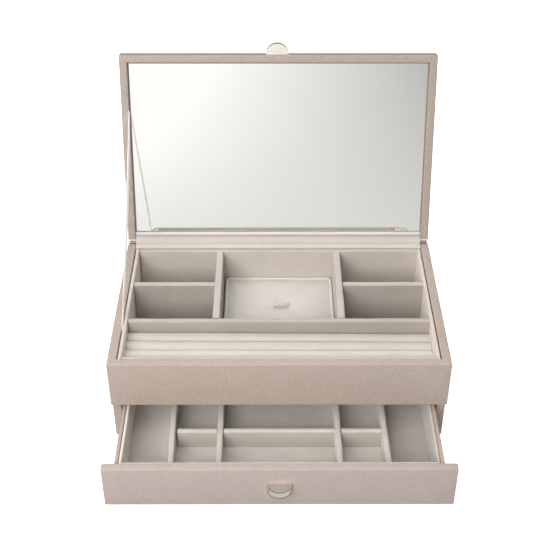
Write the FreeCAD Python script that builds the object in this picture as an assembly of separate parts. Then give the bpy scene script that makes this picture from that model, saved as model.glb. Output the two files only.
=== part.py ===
import FreeCAD, Part
import math
import os

os.makedirs("parts", exist_ok=True)

# Jewellery chest, in mm. X runs left to right, -Y is the front, +Z is up and z = 0 is the
# table. It is built as shown: lid open against its ribbon, drawer pulled out.
# Depths written as "from the front" start at the front face of the upper front wall.

# ---- case
WIDTH = 300.0            # outside width of case, lid and drawer front
DEPTH = 181.5            # outside depth of the case
RIM_Z = 93.0             # top of the rim
SPLIT_Z = 45.0           # lower edge of the fixed upper front wall
WALL = 8.0               # case walls
BOTTOM = 2.5             # case bottom board
SHELF = 3.0              # board between tray and drawer
EDGE_R = 1.0             # rounding of the covered outer edges
GLIDE = (16.0, 0.6)      # felt strips under the drawer: width, thickness
GLIDE_X = 112.0
STOP = (240.0, 8.0, 3.4)  # batten that stops the drawer: length, depth, height
STOP_FROM_FRONT = 28.0

# ---- tray lining, dividers, ring rolls and pad
SLIT = 0.4               # gap between rim and lining
LINING = 3.6             # lining boards of the tray
LINING_Z = 92.3
FLOOR = 1.5
LONG_DIV, DIV = 7.0, 5.8  # padded dividers: long ones and short ones
DIV_Z = 91.5
DIV_X = 57.5             # centre of the two long dividers, from the middle
RING_DIV_Y = 63.3        # cross divider behind the ring rolls, from the front
RING_DIV = 5.4
SHORT_DIV_Y = 117.9      # short dividers between the side cells, from the front
ROLLS = 4
ROLL_R = 6.0
ROLL_TOP_Z = 80.5
PAD = (106.2, 102.6, 11.2)
PAD_X = 0.6
PAD_BACK = 169.0         # rear edge of the pad, from the front
LOOP = (15.0, 5.5, 3.0, 0.7)   # pull loop: length, width, height, thickness
LOOP_X, LOOP_Y = 2.8, 122.0

# ---- drawer
PULLED_OUT = 76.5
FRONT_T = 7.5
FRONT_Z = (0.4, 44.4)
BOX_W = 280.0
BOX_T = 3.2              # side and back boards
BOX_Z = (3.2, 40.8)
BACK_Z = 43.6            # the back board is taller and meets the stop
BOX_BACK = 171.0         # rear face of the drawer when shut, from the front
BOX_BOTTOM = 2.0
D_LINING = 2.4
D_LINING_Z = 40.2
D_FRONT_LINING_Z = 43.2
D_FLOOR_Z = 6.0
D_DIV = 5.6
D_DIV_Z = 25.3
D_DIV_X = (-94.1, -52.7, 52.7, 94.1)
D_CROSS_Y = 65.6         # row of cross dividers, from the front when shut

# ---- lid, laid out shut: s runs from the hinge axis to the front, n runs up
LID_L = 184.2            # stands a little over the front, as a lip to lift it by
LID_T = 12.0
RAIL = 7.3
OPEN_DEG = 105.2
GAP = 0.25               # half the gap between rim and shut lid
PANEL_T = 6.0
MIRROR_T = 2.0
GLASS_PLAY = 0.6

# ---- hinge
KNUCKLES = 15
KNUCKLE_R = 1.9
PIN_R = 0.8
PIN_PLAY = 0.05
BARREL_L = 298.0
LEAF_T = 0.6
LEAF_W = 6.0
COVER_T = 0.4
SCREW_X = (-125.0, -75.0, -25.0, 25.0, 75.0, 125.0)
SCREW_IN = 3.2                 # screws from the rear edge of case and lid

# ---- pulls and ribbon
PULL_W, PULL_D, PULL_T = 21.8, 10.3, 7.4
PULL_NECK = 0.2
PULL_BEVEL = 0.7
PULL_UP = 1.4                  # drawer pull above the middle of the drawer front
LID_PULL_X = -1.0
SCREW_R, SCREW_HEAD_R, SCREW_HEAD = 1.5, 2.6, 1.6
RIBBON_W, RIBBON_T = 8.0, 0.3
RIBBON_LOW = (58.2, 10.0)      # where it enters the slit, from the front; length below the rim
RIBBON_S = 132.2               # where it meets the lid's rail

# ---- derived
F = -DEPTH / 2                        # y of the upper front wall's face
IN_X = WIDTH / 2 - WALL               # inner face of the side walls
AXIS_Y = F + DEPTH + KNUCKLE_R + 0.3
AXIS_Z = RIM_Z + GAP
LID_S = KNUCKLE_R + 0.3               # lid's rear edge from the hinge axis
LINE_X = IN_X - SLIT - LINING         # inner face of the tray's side linings
TRAY_Z = SPLIT_Z + SHELF + FLOOR
LINE_FRONT = F + WALL + SLIT + LINING
LINE_BACK = F + DEPTH - WALL - SLIT - LINING
SEAT = COVER_T + LEAF_T               # recess for hinge leaf and cover


def box(x0, x1, y0, y1, z0, z1):
    return Part.makeBox(x1 - x0, y1 - y0, z1 - z0, FreeCAD.Vector(x0, y0, z0))


def cylinder(radius, length, base, along):
    return Part.makeCylinder(radius, length, FreeCAD.Vector(*base), FreeCAD.Vector(*along))


def rounded(shape, radius, wanted):
    """Rounds the straight edges that wanted(middle, direction) picks."""
    picked = []
    for edge in shape.Edges:
        a, b = edge.Vertexes[0].Point, edge.Vertexes[-1].Point
        if wanted((a + b) * 0.5, (b - a).normalize()):
            picked.append(edge)
    return shape.makeFillet(radius, picked)


def near(a, b):
    return abs(a - b) < 0.01


def round_top(shape, radius, along):
    """Rounds the top edges that run along X or Y (0 or 1)."""
    top = shape.BoundBox.ZMax
    return rounded(shape, radius, lambda p, d: near(p.z, top) and abs(tuple(d)[along]) > 0.99)


def group(shapes):
    return Part.makeCompound(shapes)


def save(name, shape):
    shape.exportStep("parts/" + name + ".step")


def from_lid(shape):
    """Moves a shape drawn as (x, s, n) to the shut lid, then opens the lid."""
    shut = shape.mirror(FreeCAD.Vector(0, 0, 0), FreeCAD.Vector(0, 1, 0))
    shut.translate(FreeCAD.Vector(0, AXIS_Y, AXIS_Z))
    shut.rotate(FreeCAD.Vector(0, AXIS_Y, AXIS_Z), FreeCAD.Vector(1, 0, 0), -OPEN_DEG)
    return shut


# ---------------------------------------------------------------- case
for side, name in ((-1, "left"), (1, "right")):
    xs = sorted((side * IN_X, side * WIDTH / 2))
    wall = box(xs[0], xs[1], F + WALL, F + DEPTH, 0, RIM_Z)
    wall = rounded(wall, EDGE_R, lambda p, d: near(abs(p.x), WIDTH / 2)
                   and (near(p.z, RIM_Z) or near(p.y, F + DEPTH)))
    save("case_%s_side" % name, wall)

front = box(-WIDTH / 2, WIDTH / 2, F, F + WALL, SPLIT_Z, RIM_Z)
front = rounded(front, EDGE_R, lambda p, d: near(p.y, F))
save("case_front_wall", front)

back = box(-IN_X, IN_X, F + DEPTH - WALL, F + DEPTH, 0, RIM_Z - SEAT)
for x in SCREW_X:
    back = back.cut(cylinder(0.9, 8.0, (x, F + DEPTH - SCREW_IN, RIM_Z - SEAT - 8), (0, 0, 1)))
save("case_back_wall", back)

save("case_bottom", box(-IN_X, IN_X, F + WALL, F + DEPTH - WALL, 0, BOTTOM))
save("mid_shelf", box(-IN_X, IN_X, F + WALL, F + DEPTH - WALL, SPLIT_Z, SPLIT_Z + SHELF))
save("drawer_stop", box(-STOP[0] / 2, STOP[0] / 2, F + STOP_FROM_FRONT,
                        F + STOP_FROM_FRONT + STOP[1], SPLIT_Z - STOP[2], SPLIT_Z))
save("glide_strips", group([
    box(side * GLIDE_X - GLIDE[0] / 2, side * GLIDE_X + GLIDE[0] / 2, F + WALL + 1,
        F + DEPTH - WALL - 1, BOTTOM, BOTTOM + GLIDE[1]) for side in (-1, 1)]))

# ---------------------------------------------------------------- tray lining and dividers
low = SPLIT_Z + SHELF
for side, name in ((-1, "left"), (1, "right")):
    xs = sorted((side * LINE_X, side * (LINE_X + LINING)))
    board = box(xs[0], xs[1], F + WALL + SLIT, F + DEPTH - WALL - SLIT, low, LINING_Z)
    save("tray_lining_" + name, round_top(board, 1.2, 1))
for name, y in (("front", LINE_FRONT - LINING), ("rear", LINE_BACK)):
    board = box(-LINE_X, LINE_X, y, y + LINING, low, LINING_Z)
    save("tray_lining_" + name, round_top(board, 1.2, 0))
save("tray_floor", box(-LINE_X, LINE_X, LINE_FRONT, LINE_BACK, low, TRAY_Z))

ring_front, ring_back = F + RING_DIV_Y - RING_DIV / 2, F + RING_DIV_Y + RING_DIV / 2
save("tray_divider_front", round_top(
    box(-LINE_X, LINE_X, ring_front, ring_back, TRAY_Z, DIV_Z), 1.4, 0))
for side, name in ((-1, "left"), (1, "right")):
    x = side * DIV_X
    save("tray_divider_" + name, round_top(
        box(x - LONG_DIV / 2, x + LONG_DIV / 2, ring_back, LINE_BACK, TRAY_Z, DIV_Z), 1.4, 1))
    xs = sorted((side * (DIV_X + LONG_DIV / 2), side * LINE_X))
    y = F + SHORT_DIV_Y
    save("tray_short_divider_" + name, round_top(
        box(xs[0], xs[1], y - DIV / 2, y + DIV / 2, TRAY_Z, DIV_Z), 1.4, 0))

# ring rolls: upright cushions with round tops, pressed side by side in the front trough
pitch = (ring_front - LINE_FRONT) / ROLLS
for i in range(ROLLS):
    y = LINE_FRONT + pitch * (ROLLS - i - 0.5)
    trunk = box(-LINE_X, LINE_X, y - ROLL_R, y + ROLL_R, TRAY_Z, ROLL_TOP_Z - ROLL_R)
    crown = cylinder(ROLL_R, 2 * LINE_X, (-LINE_X, y, ROLL_TOP_Z - ROLL_R), (1, 0, 0))
    save("ring_roll_%d" % (i + 1), trunk.fuse(crown).removeSplitter())

# lift-out pad and its loop
px, py = PAD_X - PAD[0] / 2, F + PAD_BACK - PAD[1]
pad = box(px, px + PAD[0], py, py + PAD[1], TRAY_Z, TRAY_Z + PAD[2])
pad = rounded(pad, 1.6, lambda p, d: near(p.z, TRAY_Z + PAD[2]) or abs(d.z) > 0.99)
save("pad", pad)


def arch(length, height, width, z):
    """Half of an ellipse, standing on z and pulled out to a width along Y."""
    ellipse = Part.Ellipse(FreeCAD.Vector(0, 0, 0), length / 2, height).toShape()
    face = Part.Face(Part.Wire(ellipse))
    solid = face.extrude(FreeCAD.Vector(0, 0, width))
    solid.rotate(FreeCAD.Vector(0, 0, 0), FreeCAD.Vector(1, 0, 0), 90)
    solid.translate(FreeCAD.Vector(LOOP_X, F + LOOP_Y + width / 2, z))
    return solid.common(box(-length, length + LOOP_X, F, F + DEPTH, z, z + height + 1))


top = TRAY_Z + PAD[2]
loop = arch(LOOP[0], LOOP[2], LOOP[1], top).cut(
    arch(LOOP[0] - 2 * LOOP[3], LOOP[2] - LOOP[3], LOOP[1] + 2, top))
save("pad_loop", loop)

# ---------------------------------------------------------------- pulls
pull_z = sum(FRONT_Z) / 2 + PULL_UP


def pull():
    """Half-moon plate: flat side on y = 0, rim towards -Y, centred on z = 0."""
    half = PULL_W / 2
    a, b = FreeCAD.Vector(-half, 0, 0), FreeCAD.Vector(half, 0, 0)
    c, d = FreeCAD.Vector(-half, -PULL_NECK, 0), FreeCAD.Vector(half, -PULL_NECK, 0)
    tip = FreeCAD.Vector(0, -PULL_D, 0)
    wire = Part.Wire([Part.makeLine(b, a), Part.makeLine(a, c),
                      Part.Arc(c, tip, d).toShape(), Part.makeLine(d, b)])
    plate = Part.Face(wire).extrude(FreeCAD.Vector(0, 0, PULL_T))
    plate.translate(FreeCAD.Vector(0, 0, -PULL_T / 2))
    rim = [e for e in plate.Edges if isinstance(e.Curve, Part.Circle)]
    plate = plate.makeChamfer(PULL_BEVEL, rim)
    return plate.cut(cylinder(SCREW_R, 6.0, (0, 0, 0), (0, -1, 0)))


def pull_screw(grip):
    """Screw through a board of thickness grip, head let into the board's far side."""
    head = cylinder(SCREW_HEAD_R, SCREW_HEAD, (0, grip - SCREW_HEAD, 0), (0, 1, 0))
    shank = cylinder(SCREW_R, grip - SCREW_HEAD + 5.5, (0, grip - SCREW_HEAD, 0), (0, -1, 0))
    return head.fuse(shank).removeSplitter()


def at(shape, x, y, z):
    moved = shape.copy()
    moved.translate(FreeCAD.Vector(x, y, z))
    return moved


# ---------------------------------------------------------------- drawer, drawn pulled out
OUT = F - PULLED_OUT
front = box(-WIDTH / 2, WIDTH / 2, OUT, OUT + FRONT_T, *FRONT_Z)
front = rounded(front, EDGE_R, lambda p, d: near(p.y, OUT))
front = front.cut(at(pull_screw(FRONT_T), 0, OUT, pull_z))
save("drawer_front", front)
save("drawer_pull", at(pull(), 0, OUT, pull_z))
save("drawer_pull_screw", at(pull_screw(FRONT_T), 0, OUT, pull_z))

box_front, box_back = OUT + FRONT_T, OUT + BOX_BACK
side_in = BOX_W / 2 - BOX_T
for side, name in ((-1, "left"), (1, "right")):
    xs = sorted((side * side_in, side * BOX_W / 2))
    board = box(xs[0], xs[1], box_front, box_back, *BOX_Z)
    save("drawer_side_" + name, round_top(board, 0.8, 1))
save("drawer_back", box(-side_in, side_in, box_back - BOX_T, box_back, BOX_Z[0], BACK_Z))
floor_z = BOX_Z[0] + BOX_BOTTOM
save("drawer_bottom", box(-side_in, side_in, box_front, box_back - BOX_T, BOX_Z[0], floor_z))

lx = side_in - SLIT - D_LINING
d_front, d_back = box_front + D_LINING, box_back - BOX_T - D_LINING
for side, name in ((-1, "left"), (1, "right")):
    xs = sorted((side * lx, side * (lx + D_LINING)))
    board = box(xs[0], xs[1], box_front, box_back - BOX_T, floor_z, D_LINING_Z)
    save("drawer_lining_" + name, round_top(board, 0.9, 1))
for name, y, z in (("front", box_front, D_FRONT_LINING_Z), ("rear", d_back, D_LINING_Z)):
    board = box(-lx, lx, y, y + D_LINING, floor_z, z)
    save("drawer_lining_" + name, round_top(board, 0.9, 0))
save("drawer_floor", box(-lx, lx, d_front, d_back, floor_z, D_FLOOR_Z))

for i, x in enumerate(D_DIV_X):
    board = box(x - D_DIV / 2, x + D_DIV / 2, d_front, d_back, D_FLOOR_Z, D_DIV_Z)
    save("drawer_divider_%d" % (i + 1), round_top(board, 2.0, 1))
y = OUT + D_CROSS_Y
for i in range(len(D_DIV_X) - 1):
    x0, x1 = D_DIV_X[i] + D_DIV / 2, D_DIV_X[i + 1] - D_DIV / 2
    board = box(x0, x1, y - D_DIV / 2, y + D_DIV / 2, D_FLOOR_Z, D_DIV_Z)
    save("drawer_cross_divider_%d" % (i + 1), round_top(board, 2.0, 0))

# ---------------------------------------------------------------- lid
s0, s1 = LID_S, LID_S + LID_L
n0, n1 = GAP, GAP + LID_T
rail_x = WIDTH / 2 - RAIL
for side, name in ((-1, "left"), (1, "right")):
    xs = sorted((side * rail_x, side * WIDTH / 2))
    rail = box(xs[0], xs[1], s0, s1, n0, n1)
    rail = rounded(rail, EDGE_R, lambda p, d: near(abs(p.x), WIDTH / 2) and abs(d.y) > 0.99)
    save("lid_rail_" + name, from_lid(rail))
rail = box(-rail_x, rail_x, s1 - RAIL, s1, n0, n1)
rail = rounded(rail, EDGE_R, lambda p, d: near(p.y, s1) and abs(d.x) > 0.99)
mid_n = (n0 + n1) / 2
screw = pull_screw(RAIL)
screw.rotate(FreeCAD.Vector(0, 0, 0), FreeCAD.Vector(0, 0, 1), 180)
screw = at(screw, LID_PULL_X, s1, mid_n)
save("lid_rail_front", from_lid(rail.cut(screw)))
save("lid_pull_screw", from_lid(screw))
knob = pull()
knob.rotate(FreeCAD.Vector(0, 0, 0), FreeCAD.Vector(0, 0, 1), 180)
save("lid_pull", from_lid(at(knob, LID_PULL_X, s1, mid_n)))

rail = box(-rail_x, rail_x, s0, s0 + RAIL, n0 + SEAT, n1)
for x in SCREW_X:
    rail = rail.cut(cylinder(0.9, 8.0, (x, s0 + SCREW_IN, n0 + SEAT), (0, 0, 1)))
save("lid_rail_rear", from_lid(rail))
save("lid_panel", from_lid(box(-rail_x, rail_x, s0 + RAIL, s1 - RAIL, n1 - PANEL_T, n1)))
save("mirror", from_lid(box(-rail_x + GLASS_PLAY, rail_x - GLASS_PLAY, s0 + RAIL + GLASS_PLAY,
                            s1 - RAIL - GLASS_PLAY, n1 - PANEL_T - MIRROR_T, n1 - PANEL_T)))

# ---------------------------------------------------------------- hinge, drawn as (x, s, n)
step = BARREL_L / KNUCKLES


def leaf(odd, n):
    """Leaf at height n with every second knuckle, bored for the pin and the screws."""
    body = box(-IN_X + 0.5, IN_X - 0.5, LID_S + 0.3, LID_S + 0.3 + LEAF_W, n, n + LEAF_T)
    for i in range(odd, KNUCKLES, 2):
        x = -BARREL_L / 2 + i * step
        body = body.fuse(cylinder(KNUCKLE_R, step - 0.3, (x + 0.15, 0, 0), (1, 0, 0)))
        x0, x1 = max(x + 0.15, -IN_X + 0.5), min(x + step - 0.15, IN_X - 0.5)
        body = body.fuse(box(x0, x1, 1.1, LID_S + 0.4, n, n + LEAF_T))
    body = body.cut(cylinder(PIN_R + PIN_PLAY, BARREL_L + 2, (-BARREL_L / 2 - 1, 0, 0), (1, 0, 0)))
    for x in SCREW_X:
        body = body.cut(cylinder(1.0, 4.0, (x, LID_S + SCREW_IN, n - 2), (0, 0, 1)))
    return body.removeSplitter()


def leaf_screws(n, up):
    """Small flat-headed screws: head flush in the leaf, shank into the wood."""
    return group([cylinder(0.88, 6.5, (x, LID_S + SCREW_IN, n), (0, 0, up)) for x in SCREW_X])


def from_case(shape):
    """Moves a hinge shape drawn as (x, s, n) to the case side, n pointing down."""
    turned = shape.copy()
    turned.rotate(FreeCAD.Vector(0, 0, 0), FreeCAD.Vector(1, 0, 0), 180)
    turned.translate(FreeCAD.Vector(0, AXIS_Y, AXIS_Z))
    return turned


n_leaf = GAP + COVER_T
save("hinge_leaf_case", from_case(leaf(0, n_leaf)))
save("hinge_screws_case", from_case(leaf_screws(n_leaf, 1)))
save("hinge_pin", cylinder(PIN_R, BARREL_L, (-BARREL_L / 2, AXIS_Y, AXIS_Z), (1, 0, 0)))
save("hinge_cover_case", from_case(
    box(-IN_X + 0.4, IN_X - 0.4, LID_S + 0.2, LID_S + WALL, GAP, GAP + COVER_T)))
save("hinge_leaf_lid", from_lid(leaf(1, n_leaf)))
save("hinge_screws_lid", from_lid(leaf_screws(n_leaf, 1)))
save("hinge_cover_lid", from_lid(
    box(-IN_X + 0.4, IN_X - 0.4, LID_S + 0.2, LID_S + RAIL, GAP, GAP + COVER_T)))

# ---------------------------------------------------------------- ribbon stay
lean = math.radians(OPEN_DEG - 90)
low_y, low_z = F + RIBBON_LOW[0], RIM_Z
high_n = 0.9
high_y = AXIS_Y + RIBBON_S * math.sin(lean) + high_n * math.cos(lean)
high_z = AXIS_Z + RIBBON_S * math.cos(lean) - high_n * math.sin(lean)
run = FreeCAD.Vector(0, high_y - low_y, high_z - low_z)
run.normalize()
across = FreeCAD.Vector(0, -run.z, run.y) * (RIBBON_W / 2)


def strap_end(x, y, z):
    p = FreeCAD.Vector(x, y, z)
    t = FreeCAD.Vector(RIBBON_T, 0, 0)
    return Part.makePolygon([p - across, p + across, p + across + t, p - across + t, p - across])


x_low = -IN_X + 0.05
x_high = -rail_x + 0.05
bottom = FreeCAD.Vector(0, low_y, low_z) - run * RIBBON_LOW[1]
save("ribbon", Part.makeLoft([strap_end(x_low, bottom.y, bottom.z),
                              strap_end(x_low, low_y, low_z),
                              strap_end(x_high, high_y, high_z)], True, True))
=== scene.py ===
import bpy
import bmesh
import math
from mathutils import Matrix, Vector, noise


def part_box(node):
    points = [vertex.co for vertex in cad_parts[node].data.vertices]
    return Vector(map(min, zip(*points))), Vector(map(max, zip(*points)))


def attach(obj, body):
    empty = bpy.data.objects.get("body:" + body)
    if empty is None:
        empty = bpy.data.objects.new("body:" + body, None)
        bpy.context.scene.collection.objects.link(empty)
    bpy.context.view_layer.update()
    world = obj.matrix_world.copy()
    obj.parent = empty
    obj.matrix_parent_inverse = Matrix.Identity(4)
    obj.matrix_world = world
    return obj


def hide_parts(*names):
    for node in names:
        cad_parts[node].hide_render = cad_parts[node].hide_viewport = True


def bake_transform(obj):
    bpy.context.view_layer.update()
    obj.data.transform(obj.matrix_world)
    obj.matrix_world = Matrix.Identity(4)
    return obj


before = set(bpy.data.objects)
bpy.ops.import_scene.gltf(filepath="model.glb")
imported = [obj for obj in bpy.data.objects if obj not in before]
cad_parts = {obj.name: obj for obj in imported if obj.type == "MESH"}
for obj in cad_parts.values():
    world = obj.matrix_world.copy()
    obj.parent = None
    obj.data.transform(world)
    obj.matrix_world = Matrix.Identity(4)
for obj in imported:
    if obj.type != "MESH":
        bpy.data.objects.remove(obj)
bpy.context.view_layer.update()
noise.seed_set(7)  # noise_vector goes by the clock otherwise, and the boards' unevenness with it

# ---------------------------------------------------------------- sizes, in metres
WIDTH, DEPTH, RIM_Z, SPLIT_Z = 0.300, 0.1815, 0.093, 0.045
WALL = 0.008
FRONT = -DEPTH / 2
AXIS_Y, AXIS_Z = DEPTH / 2 + 0.0022, RIM_Z + 0.00025
OPEN = math.radians(105.2)
LID_S0, LID_S1 = 0.0022, 0.1864
LID_N0, LID_N1 = 0.00025, 0.01225
RAIL = 0.0073
PANEL_N = 0.00625
PULL_W, PULL_D, PULL_T, PULL_NECK = 0.0218, 0.0103, 0.0074, 0.0002
OUT = FRONT - 0.0765  # front of the drawer, which is 76.5 mm out
DRAWER_FRONT_Z = (0.0004, 0.0444)
PULL_UP, LID_PULL_X = 0.0014, -0.001  # how far the pulls are off the middle
LOOP_X, LOOP_Y = 0.0028, FRONT + 0.122  # where the pad's loop is sewn in


def lid_point(x, s, n):
    """A point drawn on the shut lid, s from the hinge axis and n up, where the open lid has it."""
    return Vector((x, AXIS_Y - s * math.cos(OPEN) + n * math.sin(OPEN),
                   AXIS_Z + s * math.sin(OPEN) + n * math.cos(OPEN)))


# ---------------------------------------------------------------- materials
def nodes_of(name):
    material = bpy.data.materials.new(name)
    material.use_nodes = True
    tree = material.node_tree
    return material, tree, tree.nodes["Principled BSDF"]


def node(tree, kind, **values):
    made = tree.nodes.new(kind)
    for key, value in values.items():
        if key in made.inputs:
            made.inputs[key].default_value = value
        else:
            setattr(made, key, value)
    return made


def ramp(tree, source, stops):
    made = tree.nodes.new("ShaderNodeValToRGB")
    made.color_ramp.elements.remove(made.color_ramp.elements[1])
    for i, (at, colour) in enumerate(stops):
        stop = made.color_ramp.elements[0] if i == 0 else made.color_ramp.elements.new(at)
        stop.position, stop.color = at, (*colour, 1)
    tree.links.new(source, made.inputs[0])
    return made.outputs[0]


def mixed(tree, factor, a, b, blend="MIX"):
    made = tree.nodes.new("ShaderNodeMix")
    made.data_type, made.blend_type = "RGBA", blend
    for socket, value in ((made.inputs[0], factor), (made.inputs[6], a), (made.inputs[7], b)):
        if isinstance(value, bpy.types.NodeSocket):
            tree.links.new(value, socket)
        else:
            socket.default_value = value
    return made.outputs[2]


def scaled(colour, k):
    return tuple(min(1.0, c * k) for c in colour)


def stretched(tree, scale):
    coords = node(tree, "ShaderNodeTexCoord")
    mapping = node(tree, "ShaderNodeMapping", Scale=scale)
    tree.links.new(coords.outputs["Object"], mapping.inputs["Vector"])
    return mapping.outputs["Vector"]


def leather(name, colour, rough=0.55, grained=1.0):
    """Fine pebbled leather: rounded grains about 1 mm wide, creases between them, soft mottling."""
    material, tree, shader = nodes_of(name)
    where = stretched(tree, (1, 1, 1))
    grain = node(tree, "ShaderNodeTexVoronoi", feature="SMOOTH_F1", Scale=900.0, Smoothness=0.45)
    crease = node(tree, "ShaderNodeTexVoronoi", feature="DISTANCE_TO_EDGE", Scale=900.0)
    mottle = node(tree, "ShaderNodeTexNoise", Scale=60.0, Detail=5.0, Roughness=0.6)
    speckle = node(tree, "ShaderNodeTexNoise", Scale=420.0, Detail=3.0, Roughness=0.7)
    for texture in (grain, crease, mottle, speckle):
        tree.links.new(where, texture.inputs["Vector"])
    tone = ramp(tree, speckle.outputs[0], [(0.30, scaled(colour, 1 - 0.14 * grained)), (0.52, colour),
                                           (0.74, scaled(colour, 1 + 0.10 * grained))])
    patches = ramp(tree, mottle.outputs[0], [(0.3, scaled(colour, 0.955)), (0.7, scaled(colour, 1.04))])
    base = mixed(tree, 0.45, tone, patches)
    dark = ramp(tree, crease.outputs[0], [(0.0, (0.80, 0.79, 0.78)), (0.16, (1, 1, 1))])
    tree.links.new(mixed(tree, 0.8, base, dark, "MULTIPLY"), shader.inputs["Base Color"])
    gloss = ramp(tree, speckle.outputs[0], [(0.3, (rough + 0.12,) * 3), (0.7, (rough - 0.06,) * 3)])
    tree.links.new(gloss, shader.inputs["Roughness"])
    height = node(tree, "ShaderNodeMath", operation="SUBTRACT")
    tree.links.new(speckle.outputs[0], height.inputs[0])
    tree.links.new(grain.outputs[0], height.inputs[1])
    bump = node(tree, "ShaderNodeBump", Strength=0.42, Distance=0.00022)
    tree.links.new(height.outputs[0], bump.inputs["Height"])
    tree.links.new(bump.outputs[0], shader.inputs["Normal"])
    shader.inputs["Specular IOR Level"].default_value = 0.38
    return material


def velvet(name, colour, nap=1.0, sheen=0.35, painted_wall_shade=1.0, painted_right_shadow=1.0):
    """Short-pile velvet: brushed patches, a fine fibre speckle and a soft sheen.

    Upright faces are darkened by the wall factor, a painted shade;
    the right-end factor darkens everything more than 10 cm right of the middle, a painted shadow.
    """
    material, tree, shader = nodes_of(name)
    brushed = node(tree, "ShaderNodeTexNoise", Scale=26.0, Detail=4.0, Roughness=0.55, Distortion=0.6)
    streaks = node(tree, "ShaderNodeTexNoise", Scale=1.0, Detail=3.0, Roughness=0.65)
    fibre = node(tree, "ShaderNodeTexNoise", Scale=1500.0, Detail=2.0, Roughness=0.8)
    where = stretched(tree, (1, 1, 1))
    tree.links.new(where, brushed.inputs["Vector"])
    tree.links.new(where, fibre.inputs["Vector"])
    tree.links.new(stretched(tree, (70, 240, 240)), streaks.inputs["Vector"])
    patches = ramp(tree, brushed.outputs[0], [(0.32, scaled(colour, 1 - 0.075 * nap)),
                                              (0.68, scaled(colour, 1 + 0.06 * nap))])
    lines = ramp(tree, streaks.outputs[0], [(0.3, scaled(colour, 1 - 0.06 * nap)),
                                            (0.7, scaled(colour, 1 + 0.05 * nap))])
    pile = ramp(tree, fibre.outputs[0], [(0.3, (0.88, 0.87, 0.86)), (0.65, (1, 1, 1))])
    base = mixed(tree, 0.8, mixed(tree, 0.5, patches, lines), pile, "MULTIPLY")
    # painted shade: upright faces darker than the tops
    if painted_wall_shade != 1.0:
        facing = node(tree, "ShaderNodeSeparateXYZ")
        tree.links.new(node(tree, "ShaderNodeTexCoord").outputs["Normal"], facing.inputs[0])
        wall_shade_ramp = ramp(tree, facing.outputs[2], [(0.25, (painted_wall_shade, painted_wall_shade * 0.985, painted_wall_shade * 0.97)),
                                                 (0.95, (1, 1, 1))])
        base = mixed(tree, 1.0, base, wall_shade_ramp, "MULTIPLY")
    # painted shadow: everything right of about 9-10 cm is darker
    if painted_right_shadow != 1.0:
        sideways = node(tree, "ShaderNodeSeparateXYZ")
        tree.links.new(where, sideways.inputs[0])
        right_shadow_ramp = ramp(tree, sideways.outputs[0], [(0.088, (1, 1, 1)), (0.100, (painted_right_shadow,) * 3)])
        base = mixed(tree, 1.0, base, right_shadow_ramp, "MULTIPLY")
    tree.links.new(base, shader.inputs["Base Color"])
    matt = ramp(tree, brushed.outputs[0], [(0.3, (0.98,) * 3), (0.7, (0.86,) * 3)])
    tree.links.new(matt, shader.inputs["Roughness"])
    bump = node(tree, "ShaderNodeBump", Strength=0.30, Distance=0.00025)
    tree.links.new(fibre.outputs[0], bump.inputs["Height"])
    tree.links.new(bump.outputs[0], shader.inputs["Normal"])
    shader.inputs["Specular IOR Level"].default_value = 0.15
    shader.inputs["Sheen Weight"].default_value = sheen
    shader.inputs["Sheen Roughness"].default_value = 0.45
    shader.inputs["Sheen Tint"].default_value = (1.0, 0.97, 0.93, 1)
    return material


def woven(name, colour, threads=2600.0, rough=0.75, axis="X", sheen=0.2, through=0.0):
    """Ribbed ribbon or cloth tape; through sets a glow of its own colour, a painted light standing in for
    the light a thin one lets through from behind.
    """
    material, tree, shader = nodes_of(name)
    where = stretched(tree, (1, 1, 1))
    warp = node(tree, "ShaderNodeTexWave", Scale=threads / 6.283, Distortion=0.6, Detail=1.0)
    warp.bands_direction = axis
    weft = node(tree, "ShaderNodeTexWave", Scale=threads / 8.0, Distortion=0.8, Detail=1.0)
    weft.bands_direction = "DIAGONAL"
    fuzz = node(tree, "ShaderNodeTexNoise", Scale=180.0, Detail=4.0)
    for texture in (warp, weft, fuzz):
        tree.links.new(where, texture.inputs["Vector"])
    weave = node(tree, "ShaderNodeMath", operation="MULTIPLY")
    tree.links.new(warp.outputs[1], weave.inputs[0])
    tree.links.new(weft.outputs[1], weave.inputs[1])
    cells = ramp(tree, weave.outputs[0], [(0.1, scaled(colour, 0.86)), (0.8, scaled(colour, 1.05))])
    tones = ramp(tree, fuzz.outputs[0], [(0.35, scaled(colour, 0.94)), (0.65, scaled(colour, 1.05))])
    tree.links.new(mixed(tree, 0.5, cells, tones), shader.inputs["Base Color"])
    tree.links.new(ramp(tree, fuzz.outputs[0], [(0.3, (rough + 0.1,) * 3), (0.7, (rough - 0.08,) * 3)]),
                   shader.inputs["Roughness"])
    bump = node(tree, "ShaderNodeBump", Strength=0.35, Distance=0.00012)
    tree.links.new(weave.outputs[0], bump.inputs["Height"])
    tree.links.new(bump.outputs[0], shader.inputs["Normal"])
    shader.inputs["Sheen Weight"].default_value = sheen
    # emission in the cloth's own colour: painted light
    shader.inputs["Emission Color"].default_value = (*colour, 1)
    shader.inputs["Emission Strength"].default_value = through
    return material


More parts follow.
